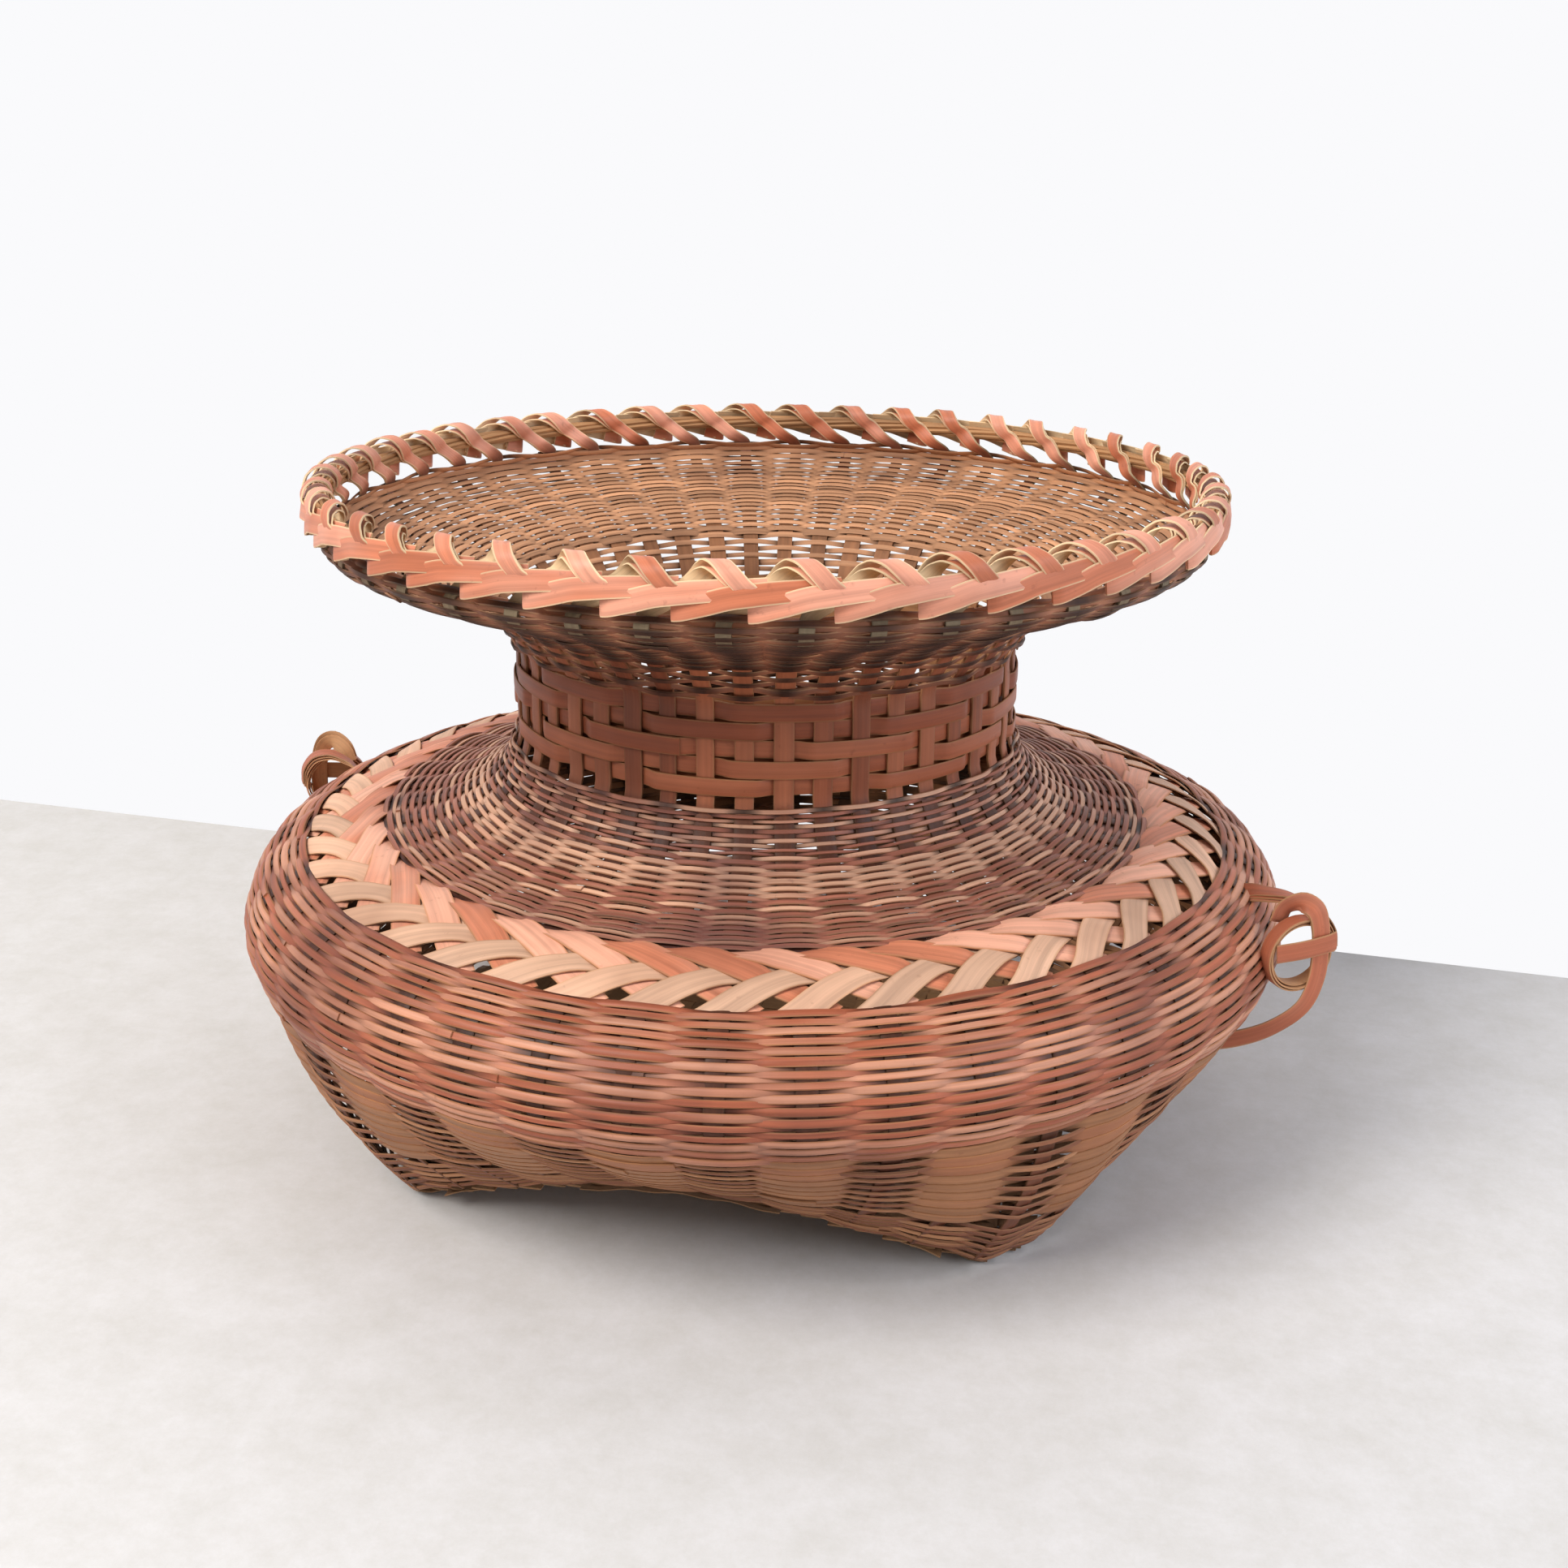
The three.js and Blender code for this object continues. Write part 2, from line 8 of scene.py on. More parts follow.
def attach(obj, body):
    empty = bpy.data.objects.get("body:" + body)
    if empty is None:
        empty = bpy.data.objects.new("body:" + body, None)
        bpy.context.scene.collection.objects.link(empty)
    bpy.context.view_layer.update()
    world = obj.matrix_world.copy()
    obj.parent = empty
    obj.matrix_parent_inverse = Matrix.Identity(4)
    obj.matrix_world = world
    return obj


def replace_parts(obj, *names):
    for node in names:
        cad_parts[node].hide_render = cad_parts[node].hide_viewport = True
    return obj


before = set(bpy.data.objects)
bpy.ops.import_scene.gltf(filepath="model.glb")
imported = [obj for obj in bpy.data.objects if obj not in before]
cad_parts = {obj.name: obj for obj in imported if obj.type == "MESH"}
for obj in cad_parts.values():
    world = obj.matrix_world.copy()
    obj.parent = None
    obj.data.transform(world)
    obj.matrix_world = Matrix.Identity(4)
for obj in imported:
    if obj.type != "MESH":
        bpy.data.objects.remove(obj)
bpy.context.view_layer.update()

# Base mat. A square of flat split strips, plaited over one and under one, that the basket was started from.
# It is raised in the middle and comes down to the floor at its four corners. All sizes are in millimetres.
MAT_HALF = 174
MAT_SQUARENESS = 3.8
MAT_RISE = 30
MAT_LIFT = 1.5
MAT_STRIP_PITCH = 12
MAT_STRIP_WIDTH = 11.2
MAT_STRIP_THICKNESS = 0.9
MAT_SWING = 0.5
MAT_LANES = 14
MAT_TRIM = 4

hand = np.random.default_rng(44)


def mat_edge(angle):
    """Half width of the mat at an angle, and how high its edge arches there between the feet."""
    power = MAT_SQUARENESS
    half = MAT_HALF * (np.abs(np.cos(angle)) ** power + np.abs(np.sin(angle)) ** power) ** (-1 / power)
    foot = math.sin(math.radians(9))
    arch = np.clip((np.abs(np.cos(2 * angle)) - foot) / (1 - foot), 0, 1)
    return half, MAT_RISE * arch**0.8


def mat_height(x, y):
    half, edge_height = mat_edge(np.arctan2(y, x))
    fall = np.minimum(1, np.hypot(x, y) / half / 0.94) ** 3
    return MAT_RISE - (MAT_RISE - edge_height) * fall


# Cut ends of a split strip and of a thin strand: side across it, and face from its back to its skin
STRIP_CUT = [(-0.5, -0.5), (0.5, -0.5), (0.5, 0.15), (0.4, 0.42), (0.15, 0.5), (-0.15, 0.5), (-0.4, 0.42), (-0.5, 0.15)]
STRIP_CUT = np.array(STRIP_CUT)
STRAND_CUT = np.array([(-0.5, -0.2), (-0.35, -0.5), (0.35, -0.5), (0.5, -0.2), (0.34, 0.5), (-0.34, 0.5)])


def strand(path, across, face, width, thickness, tone, cut=STRIP_CUT, painted_shade=1):
    """One split strip along a path, as points, faces, smooth faces, grain, tone and painted shade."""
    path, across, face = (np.broadcast_to(np.asarray(a, float), np.shape(path)) for a in (path, across, face))
    width, thickness = (np.broadcast_to(np.asarray(a, float), len(path))[:, None] for a in (width, thickness))
    side, depth = cut[:, 0] * width, cut[:, 1] * thickness
    points = path[:, None] + across[:, None] * side[..., None] + face[:, None] * depth[..., None]
    run = np.concatenate([[0], np.cumsum(np.linalg.norm(np.diff(path, axis=0), axis=1))])
    skin = np.broadcast_to(cut[:, 1], side.shape)
    grain = np.stack([np.broadcast_to(run[:, None], side.shape), side, skin], -1)
    size, count = len(cut), len(path)
    corner = np.arange(size)
    here = np.arange(count - 1)[:, None] * size
    following = (corner + 1) % size
    sides = np.stack([here + corner, here + following, here + size + following, here + size + corner], -1)
    sides = sides.reshape(-1, 4)
    cap = np.array([[-k % size, k + 1, k + 2, (-k - 1) % size] for k in range(size // 2 - 1)])
    quads = np.concatenate([sides, cap[:, ::-1], cap + (count - 1) * size])
    middle = count // 2
    along = path[middle] - path[middle - 1]
    if np.dot(np.cross(across[middle], face[middle]), along) < 0:
        quads = quads[:, ::-1]
    smooth = np.arange(len(quads)) < len(sides)
    painted_shade = np.repeat(np.broadcast_to(np.asarray(painted_shade, float), count), size)
    return points.reshape(-1, 3), quads, smooth, grain.reshape(-1, 3), np.full(count * size, tone), painted_shade


def piece(name, strands, finish, slot, *nodes):
    """One piece of the basket from its strands. Each point keeps its place in the grain, its tone and its painted
    shade.
    """
    points, quads, smooth, grain, tone, painted_shade = ([s[k] for s in strands] for k in range(6))
    starts = np.cumsum([0] + [len(p) for p in points[:-1]])
    quads = np.concatenate([q + start for q, start in zip(quads, starts)])
    points = np.concatenate(points)
    mesh = bpy.data.meshes.new(name)
    mesh.vertices.add(len(points))
    mesh.vertices.foreach_set("co", (points / 1000).ravel())
    mesh.loops.add(quads.size)
    mesh.loops.foreach_set("vertex_index", quads.ravel())
    mesh.polygons.add(len(quads))
    mesh.polygons.foreach_set("loop_start", np.arange(0, quads.size, 4))
    mesh.polygons.foreach_set("use_smooth", np.concatenate(smooth))
    mesh.update(calc_edges=True)
    grain = (np.concatenate(grain) / 1000).ravel()
    mesh.attributes.new("grain", "FLOAT_VECTOR", "POINT").data.foreach_set("vector", grain)
    for kind, values in (("tone", tone), ("painted_shade", painted_shade)):
        mesh.attributes.new(kind, "FLOAT", "POINT").data.foreach_set("value", np.concatenate(values))
    mesh.set_sharp_from_angle(angle=math.radians(50))
    mesh.materials.append(finish)
    made = bpy.data.objects.new(name, mesh)
    bpy.context.scene.collection.objects.link(made)
    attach(made, "root")
    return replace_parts(made, *nodes)


def paint(red, green, blue):
    """A colour as it looks in daylight, 0 to 255, for a shader's socket."""
    return [((c / 255 + 0.055) / 1.055) ** 2.4 if c > 10 else c / 255 / 12.92 for c in (red, green, blue)] + [1]


def wire(tree, kind, inputs=None, **settings):
    """A node with its settings, and with its inputs set or joined."""
    made = tree.nodes.new(kind)
    for key, value in settings.items():
        setattr(made, key, value)
    for socket, value in (inputs or {}).items():
        if isinstance(value, bpy.types.NodeSocket):
            tree.links.new(value, made.inputs[socket])
        else:
            made.inputs[socket].default_value = value
    return made


def blend_colour(tree, share, first, second, mode="MIX"):
    made = wire(tree, "ShaderNodeMix", data_type="RGBA", blend_type=mode)
    for socket, value in ((0, share), (6, first), (7, second)):
        if isinstance(value, bpy.types.NodeSocket):
            tree.links.new(value, made.inputs[socket])
        else:
            made.inputs[socket].default_value = value
    return made.outputs[2]


def split_bamboo_group():
    """Split bamboo: fibres and streaks run with each strand, skin on its face and pith on its edges and back."""
    tree = bpy.data.node_groups.new("split bamboo", "ShaderNodeTree")
    for name in ("Skin", "Second skin", "Pith", "Stain"):
        tree.interface.new_socket(name, in_out="INPUT", socket_type="NodeSocketColor")
    for name in ("Second share", "Streaks", "Stain share", "Gloss"):
        tree.interface.new_socket(name, in_out="INPUT", socket_type="NodeSocketFloat")
    tree.interface.new_socket("Colour", in_out="OUTPUT", socket_type="NodeSocketColor")
    tree.interface.new_socket("Roughness", in_out="OUTPUT", socket_type="NodeSocketFloat")
    tree.interface.new_socket("Height", in_out="OUTPUT", socket_type="NodeSocketFloat")
    given = tree.nodes.new("NodeGroupInput").outputs
    grain = wire(tree, "ShaderNodeAttribute", attribute_name="grain").outputs["Vector"]
    tone = wire(tree, "ShaderNodeAttribute", attribute_name="tone").outputs["Fac"]
    painted_shade = wire(tree, "ShaderNodeAttribute", attribute_name="painted_shade").outputs["Fac"]
    place = wire(tree, "ShaderNodeTexCoord").outputs["Object"]
    own = wire(tree, "ShaderNodeCombineXYZ", {0: tone, 1: tone, 2: tone}).outputs[0]
    own = wire(tree, "ShaderNodeVectorMath", {0: own, 1: (61, 37, 17)}, operation="MULTIPLY").outputs[0]

    def noise_along(scale, detail, roughness=0.5):
        stretched = wire(tree, "ShaderNodeVectorMath", {0: grain, 1: scale, 2: own}, operation="MULTIPLY_ADD")
        inputs = {"Vector": stretched.outputs[0], "Scale": 1, "Detail": detail, "Roughness": roughness}
        return wire(tree, "ShaderNodeTexNoise", inputs).outputs[0]

    def ramp(value, low, high, bottom=0, top=1):
        inputs = {0: value, 1: low, 2: high, 3: bottom, 4: top}
        return wire(tree, "ShaderNodeMapRange", inputs, interpolation_type="SMOOTHSTEP").outputs[0]

    def maths(operation, first, second):
        return wire(tree, "ShaderNodeMath", {0: first, 1: second}, operation=operation).outputs[0]

    fibres = noise_along((26, 2600, 4), 3, 0.65)
    streaks = noise_along((7, 420, 2), 2)
    lengths = noise_along((17, 60, 1), 2)
    patches = wire(tree, "ShaderNodeTexNoise", {"Vector": place, "Scale": 9, "Detail": 4, "Roughness": 0.6}).outputs[0]
    specks = wire(tree, "ShaderNodeTexNoise", {"Vector": place, "Scale": 260, "Detail": 3, "Roughness": 0.6}).outputs[0]
    skin_side = wire(tree, "ShaderNodeSeparateXYZ", {0: grain}).outputs[2]
    skin_mask = ramp(skin_side, 0.00012, 0.0004)
    second = maths("ADD", maths("MULTIPLY", tone, 0.55), maths("MULTIPLY", lengths, 0.75))
    second = maths("MULTIPLY", ramp(second, 0.52, 0.86), given["Second share"])
    skin = blend_colour(tree, second, given["Skin"], given["Second skin"])
    body = blend_colour(tree, skin_mask, given["Pith"], skin)
    light = maths("MULTIPLY_ADD", tone, 0.44)
    light.node.inputs[2].default_value = 0.78
    streak_light = maths("MULTIPLY", maths("SUBTRACT", streaks, 0.5), given["Streaks"])
    light = maths("ADD", light, streak_light)
    light = maths("ADD", light, maths("MULTIPLY", maths("SUBTRACT", fibres, 0.5), 0.35))
    # Painted shade: each point's darkening factor scales the colour down where a strand lies behind the stakes or under
    # the weave.
    light = maths("MULTIPLY", light, painted_shade)
    body = wire(tree, "ShaderNodeVectorMath", {0: body, "Scale": light}, operation="SCALE").outputs[0]
    stained = maths("MULTIPLY", ramp(patches, 0.46, 0.72), given["Stain share"])
    dirt = maths("MULTIPLY", ramp(specks, 0.6, 0.78), 0.3)
    body = blend_colour(tree, maths("MAXIMUM", stained, dirt), body, given["Stain"])
    rough = maths("ADD", maths("MULTIPLY", fibres, 0.3), maths("MULTIPLY", patches, 0.2))
    rough = maths("SUBTRACT", maths("ADD", rough, 0.42), maths("MULTIPLY", skin_mask, given["Gloss"]))
    height = maths("ADD", maths("MULTIPLY", fibres, 0.5), maths("MULTIPLY", streaks, 0.5))
    wire(tree, "NodeGroupOutput", {"Colour": body, "Roughness": rough, "Height": height})
    return tree


split_bamboo = split_bamboo_group()


def bamboo(name, skin, second_skin, pith, stain, second_share, streaks, stain_share, gloss, relief):
    """A finish of split bamboo in its own colours."""
    finish = bpy.data.materials.new(name)
    finish.use_nodes = True
    tree = finish.node_tree
    shader = tree.nodes["Principled BSDF"]
    group = wire(tree, "ShaderNodeGroup", node_tree=split_bamboo)
    for socket, value in (("Skin", skin), ("Second skin", second_skin), ("Pith", pith), ("Stain", stain)):
        group.inputs[socket].default_value = paint(*value)
    shares = (("Second share", second_share), ("Streaks", streaks), ("Stain share", stain_share), ("Gloss", gloss))
    for socket, value in shares:
        group.inputs[socket].default_value = value
    bump = wire(tree, "ShaderNodeBump", {"Strength": 1, "Distance": relief, "Height": group.outputs["Height"]})
    shader.inputs["Specular IOR Level"].default_value = 0.3
    tree.links.new(group.outputs["Colour"], shader.inputs["Base Color"])
    tree.links.new(group.outputs["Roughness"], shader.inputs["Roughness"])
    tree.links.new(bump.outputs[0], shader.inputs["Normal"])
    return finish


mat_strips = []
for lane in np.arange(-MAT_LANES, MAT_LANES + 1):
    for turned in (False, True):
        off = lane * MAT_STRIP_PITCH
        outer = (abs(off) + MAT_STRIP_WIDTH / 2) / MAT_HALF
        reach = MAT_HALF * (1 - outer**MAT_SQUARENESS) ** (1 / MAT_SQUARENESS) - MAT_TRIM
        along = np.linspace(-reach, reach, max(5, int(reach / 2)))
        over = np.cos(np.pi * (along / MAT_STRIP_PITCH + lane)) * (-1 if turned else 1)
        x, y = (np.full_like(along, off), along) if turned else (along, np.full_like(along, off))
        z = mat_height(x, y) + MAT_LIFT + MAT_SWING * over
        across = (1, 0, 0) if turned else (0, 1, 0)
        path = np.stack([x, y, z], -1)
        mat_strips.append(strand(path, across, (0, 0, -1), MAT_STRIP_WIDTH, MAT_STRIP_THICKNESS, hand.random()))
mat_finish = bamboo(
    "base strips", (158, 118, 84), (138, 92, 66), (150, 112, 78), (92, 58, 42),
    0.6, 0.5, 0.5, 0.05, 0.0001,
)
piece("base_mat_plait", mat_strips, mat_finish, "bamboo pith", "base_mat")

# Stakes. 44 split bamboo uprights that everything is woven on. Each one rises from the mat's edge, over the belly,
# under the shoulder braid, up the cone and the neck and out into the dish, where its end goes on into the rim.
STAKES = 44
PITCH = 2 * math.pi / STAKES
STAKE_WIDTH = 8.4
STAKE_THICKNESS = 1.5
NECK_RADIUS = 121.5
NECK_BOTTOM = 198
NECK_TOP = 246
THROAT = 125.8
SEAM = (251.5, 94)
BELLY = [SEAM, (257.1, 105.5), (258.5, 117), (247.65, 140.65), (227.5, 152.3)]
CONE = [(190, 160.5), (161.75, 164.25), (141.85, 172.9), (129.65, 185.25), (THROAT, NECK_BOTTOM)]
DISH = [(THROAT, NECK_TOP), (130.5, 256), (140, 266.5), (153, 273.5), (170, 279.5), (185, 284), (198, 289)]
DISH += [(207, 294), (211, 299), (210.5, 303), (207.5, 306)]
LOWER_BULGE = 7
WALL_DEPTH = 2
WALL_FOOT = 3.3
STAKE_STOP = 27


def flowing(points, spacing=1.0):
    """A smooth line through the given points, in even steps."""
    points = np.asarray(points, float)
    knots = np.concatenate([[0], np.cumsum(np.sqrt(np.linalg.norm(np.diff(points, axis=0), axis=1)))])
    slopes = np.gradient(points, knots, axis=0)
    fine = np.linspace(0, knots[-1], 40 * len(points))
    k = np.clip(np.searchsorted(knots, fine, side="right") - 1, 0, len(knots) - 2)
    span = (knots[k + 1] - knots[k])[:, None]
    t = ((fine - knots[k])[:, None]) / span
    line = points[k] * (2 * t**3 - 3 * t**2 + 1) + points[k + 1] * (3 * t**2 - 2 * t**3)
    line += slopes[k] * span * (t**3 - 2 * t**2 + t) + slopes[k + 1] * span * (t**3 - t**2)
    run = np.concatenate([[0], np.cumsum(np.linalg.norm(np.diff(line, axis=0), axis=1))])
    even = np.linspace(0, run[-1], max(2, int(round(run[-1] / spacing)) + 1))
    return np.stack([np.interp(even, run, line[:, c]) for c in range(line.shape[1])], -1)


def directions(line):
    along = np.gradient(line, axis=0)
    return along / np.linalg.norm(along, axis=1, keepdims=True)


def round_wall(points, depth=WALL_DEPTH):
    """The middle line of a round wall: gives radius, height and upward direction at a distance up it."""
    line = flowing(points)
    up = directions(line)
    line = line + np.stack([-up[:, 1], up[:, 0]], -1) * depth
    run = np.concatenate([[0], np.cumsum(np.linalg.norm(np.diff(line, axis=0), axis=1))])

    def at(height, angle):
        spot = [np.interp(height, run, column) for column in (line[:, 0], line[:, 1], up[:, 0], up[:, 1])]
        return [np.broadcast_to(value, np.shape(angle)) for value in spot]

    return at, run[-1]


def lower_wall(height, angle):
    """The same for the wall from the square mat up to the round seam; height is a share of it."""
    half, arch = mat_edge(angle)
    foot = mat_height(half * np.cos(angle), half * np.sin(angle)) + WALL_FOOT
    rise = SEAM[1] - foot
    out = SEAM[0] - half
    radius = half + out * height + LOWER_BULGE * 4 * height * (1 - height)
    slope = out + LOWER_BULGE * 4 * (1 - 2 * height)
    length = np.hypot(slope, rise)
    up_out, up = slope / length, rise / length
    return radius - up * WALL_DEPTH, foot + rise * height + up_out * WALL_DEPTH, up_out, up


belly_wall, belly_length = round_wall(BELLY)
cone_wall, cone_length = round_wall(CONE)
dish_wall, dish_length = round_wall(DISH)


def spun(angle, radius, height):
    return np.stack([radius * np.cos(angle), radius * np.sin(angle), np.broadcast_to(height, np.shape(radius))], -1)


stake_finish = bamboo(
    "stakes", (138, 76, 50), (150, 90, 62), (140, 94, 62), (72, 38, 28),
    0.7, 0.8, 0.5, 0.16, 0.00012,
)
for number in range(STAKES):
    angle = number * PITCH
    low = [lower_wall(share, angle)[:2] for share in (0.02, 0.25, 0.5, 0.75, 1)]
    belly = [belly_wall(d, angle)[:2] for d in np.linspace(8, belly_length - 4, 7)]
    under_braid = [(222, 148.6), (206, 152.4), (192, 155.6)]
    cone = [cone_wall(d, angle)[:2] for d in np.linspace(12, cone_length - 8, 6)]
    neck = [(NECK_RADIUS, z) for z in np.linspace(NECK_BOTTOM + 1, NECK_TOP - 1, 5)]
    dish = [dish_wall(d, angle)[:2] for d in np.linspace(8, dish_length - STAKE_STOP, 7)]
    line = flowing([[float(r), float(z)] for r, z in low + belly + under_braid + cone + neck + dish], 4.5)
    up = directions(line)
    path = spun(angle, line[:, 0], line[:, 1])
    face = spun(angle, up[:, 1], 0) + np.outer(-up[:, 0], (0, 0, 1))
    across = (-math.sin(angle), math.cos(angle), 0)
    thin = STAKE_THICKNESS * np.where(line[:, 1] > NECK_BOTTOM, 1, 0.8)
    # Painted shade: a stake's colour is scaled down by height where the weave covers it and it shows only in shaded
    # gaps, and kept full at the neck.
    stake_shade = np.interp(line[:, 1], (0, 70, 92, 150, 154, 190, 198, 262, 280), (0.6, 0.5, 0.2, 0.2, 0.4, 0.2, 1, 1, 0.6))
    width = STAKE_WIDTH * (1 + 0.05 * hand.standard_normal())
    upright = strand(path, across, face, width, thin, hand.random(), painted_shade=stake_shade)
    piece(f"stake_{number + 1:02d}_upright", [upright], stake_finish, "stake bamboo", f"stake_{number + 1:02d}")

# Lower weave. Thin red-brown strands close the wall above the mat; over them wide tan strips pass in front of every
# second stake and go in behind the ones between, where a thin light strand crosses over the bare stake.
ROW_STEPS = 6
LAP = 1.4
LOWER_LENGTH = 101
FOOT_STRANDS = 11
FOOT_PITCH = 2.7
WIDE_ROWS = 9
WIDE_WIDTH = 8.6
WIDE_THICKNESS = 0.8
WIDE_SWING = 1.5
TIE_WIDTH = 2.4
TIE_THICKNESS = 0.9
TIE_SWING = 1.4
FOOT_THICKNESS = 1.0
FOOT_SWING = 1.2
BEHIND_STAKE_SHADE = 0.86


def woven_row(
    wall, height, width, thickness, swing, side, tone, cut=STRAND_CUT, narrowing=0, wander=0.25, tilt=0, seen=1
):
    """A strand once round a wall, in front of and behind the stakes, its end lapped over its start. It is painted
    darker where it goes behind them as seen from outside (seen=1) or inside (seen=-1), a painted shade."""
    start = hand.integers(STAKES) * PITCH + hand.random() * PITCH
    turn = np.arange(0, (STAKES + LAP) * ROW_STEPS + 1) / ROW_STEPS
    angle = start + turn * PITCH
    swell = np.cos(STAKES / 2 * angle) * side
    bow = swing * swell * (1.15 - 0.15 * swell**2)
    drift = wander * (np.sin(2 * angle + height * 0.11) + 0.6 * np.sin(5 * angle + 1.3 + height * 0.05))
    own = 0.35 * wander * (np.sin(3 * angle + 6 * hand.random()) + np.sin(11 * angle + 6 * hand.random()))
    place = height + (drift + own) * (1 / LOWER_LENGTH if wall is lower_wall else 1)
    radius, z, up_out, up = wall(place, angle)
    bow = bow + thickness * 0.95 * np.clip((turn - STAKES + 0.2) / 0.5, 0, 1)
    across = np.stack([up_out * np.cos(angle), up_out * np.sin(angle), up], -1)
    face = np.stack([up * np.cos(angle), up * np.sin(angle), -up_out], -1)
    path = spun(angle, radius, z) + face * bow[:, None]
    across, face = across + face * tilt, face - across * tilt
    if narrowing:
        width = width * (1 - narrowing * np.clip(0.5 - swell, 0, 1))
    # Painted shade: the part of the strand behind the stakes, from the side it is seen from, is darkened.
    hidden = np.clip(0.02 - swell * seen, 0, 1)
    return strand(path, across, face, width, thickness, tone, cut, 1 - BEHIND_STAKE_SHADE * hidden)


foot_strands = []
for row in range(FOOT_STRANDS):
    height = (2 + row * FOOT_PITCH) / LOWER_LENGTH
    width = 3.0 + 0.4 * hand.random()
    foot_strands.append(woven_row(lower_wall, height, width, FOOT_THICKNESS, FOOT_SWING, (-1) ** row, hand.random()))
wide_start = (2 + FOOT_STRANDS * FOOT_PITCH + 2.2) / LOWER_LENGTH
wide_pitch = (1.0 - wide_start) / WIDE_ROWS
wide_strips = []
for row in range(WIDE_ROWS):
    height = wide_start + (row + 0.45) * wide_pitch
    shape = (WIDE_WIDTH, WIDE_THICKNESS, WIDE_SWING, -1)
    wide_strips.append(woven_row(lower_wall, height, *shape, hand.random(), STRIP_CUT, narrowing=0.5, tilt=0.07))
    shape = (TIE_WIDTH, TIE_THICKNESS, TIE_SWING, 1)
    foot_strands.append(woven_row(lower_wall, height + wide_pitch / 2, *shape, hand.random(), wander=0.2))
lower_finish = bamboo(
    "wide strips", (176, 121, 82), (150, 93, 63), (166, 114, 76), (98, 58, 42),
    0.8, 0.8, 0.45, 0.14, 0.0001,
)
piece("lower_wide_strips", wide_strips, lower_finish, "bamboo pith", "lower_weave")
foot_finish = bamboo(
    "foot strands", (150, 92, 64), (182, 132, 92), (160, 112, 78), (80, 46, 36),
    0.7, 0.5, 0.4, 0.1, 0.0001,
)
piece("lower_thin_strands", foot_strands, foot_finish, "bamboo pith", "lower_weave")

# Body weave. Fine split strands woven over one stake and under the next, row over row, from the seam over the
# belly to the shoulder braid. Their flat faces were stained red-brown, and rubbed paler where hands reach.
FINE_PITCH = 2.36
FINE_WIDTH = 3.5
FINE_THICKNESS = 0.95
FINE_SWING = 1.0
body_rows = []
for row in range(int((belly_length - 1) / FINE_PITCH) + 1):
    height = 0.6 + row * FINE_PITCH
    width = FINE_WIDTH * (1 + 0.1 * hand.standard_normal())
    shape = (width, FINE_THICKNESS, FINE_SWING, (-1) ** row)
    body_rows.append(woven_row(belly_wall, height, *shape, hand.random(), wander=0.5, tilt=-0.1))
body_finish = bamboo(
    "body strands", (170, 94, 66), (186, 134, 108), (166, 112, 76), (104, 58, 48),
    0.85, 1.1, 0.6, 0.22, 0.0001,
)
piece("body_fine_weave", body_rows, body_finish, "fine weave", "body_weave")

# Shoulder braid. Each stake has a red and a tan flat strip of its own here: the red ones slant out from under the
# cone, the tan ones slant in from under the body's top strand, and each is on top first and goes under further on.
RED_WIDTH = 13.2
TAN_WIDTH = 12.4
BRAID_THICKNESS = 0.9
BRAID_INNER = (190, 160.5)
BRAID_OUTER = (227.5, 152.3)
RED_WAY = [(-0.3, 185), (0.1, 190), (0.6, 194.5), (1.1, 201), (1.5, 208), (2.0, 218), (2.4, 228)]
TAN_WAY = [(-0.3, 233), (0, 227), (0.4, 217), (0.8, 209.5), (1.2, 204.5), (1.7, 200), (2.2, 196)]
RED_LIFT = [(-0.3, -5), (0, -2), (0.35, 0.1), (0.7, 1.0), (1.3, 0.9), (1.6, -0.9), (1.95, -1.1), (2.4, -3.5)]
TAN_LIFT = [(-0.3, -5), (0, -1.8), (0.25, 0.1), (0.55, 1.0), (0.85, 0.8), (1.2, -0.9), (1.7, -1.4), (2.2, -3)]


def braid_strip(stake, way, lifts, width, tone):
    """A strip of the braid: its radius and its height at each stake it passes, its start leaning in under the weave."""
    lifts = np.array(lifts)
    steps = np.linspace(lifts[0, 0], lifts[-1, 0], 26)
    lift = flowing(lifts, 0.02)
    lift = np.interp(steps, lift[:, 0], lift[:, 1])
    way = flowing(way, 0.3)
    radius = np.interp(steps, way[:, 0], way[:, 1])
    angle = (stake + steps) * PITCH
    slope = (BRAID_OUTER[1] - BRAID_INNER[1]) / (BRAID_OUTER[0] - BRAID_INNER[0])
    height = BRAID_INNER[1] + (radius - BRAID_INNER[0]) * slope - 1.6
    length = math.hypot(1, slope)
    face = np.stack([-slope * np.cos(angle), -slope * np.sin(angle), np.ones_like(angle)], -1) / length
    path = spun(angle, radius, height) + face * lift[:, None]
    along = directions(path)
    across = np.cross(face, along)
    across /= np.linalg.norm(across, axis=1, keepdims=True)
    lean = 0.42 * np.clip((0.75 - steps) / 0.7, 0, 1)[:, None] * np.sign(way[0, 1] - way[-1, 1])
    across = across * np.cos(lean) + face * np.sin(lean)
    return strand(path, across, np.cross(along, across), width, BRAID_THICKNESS, tone)


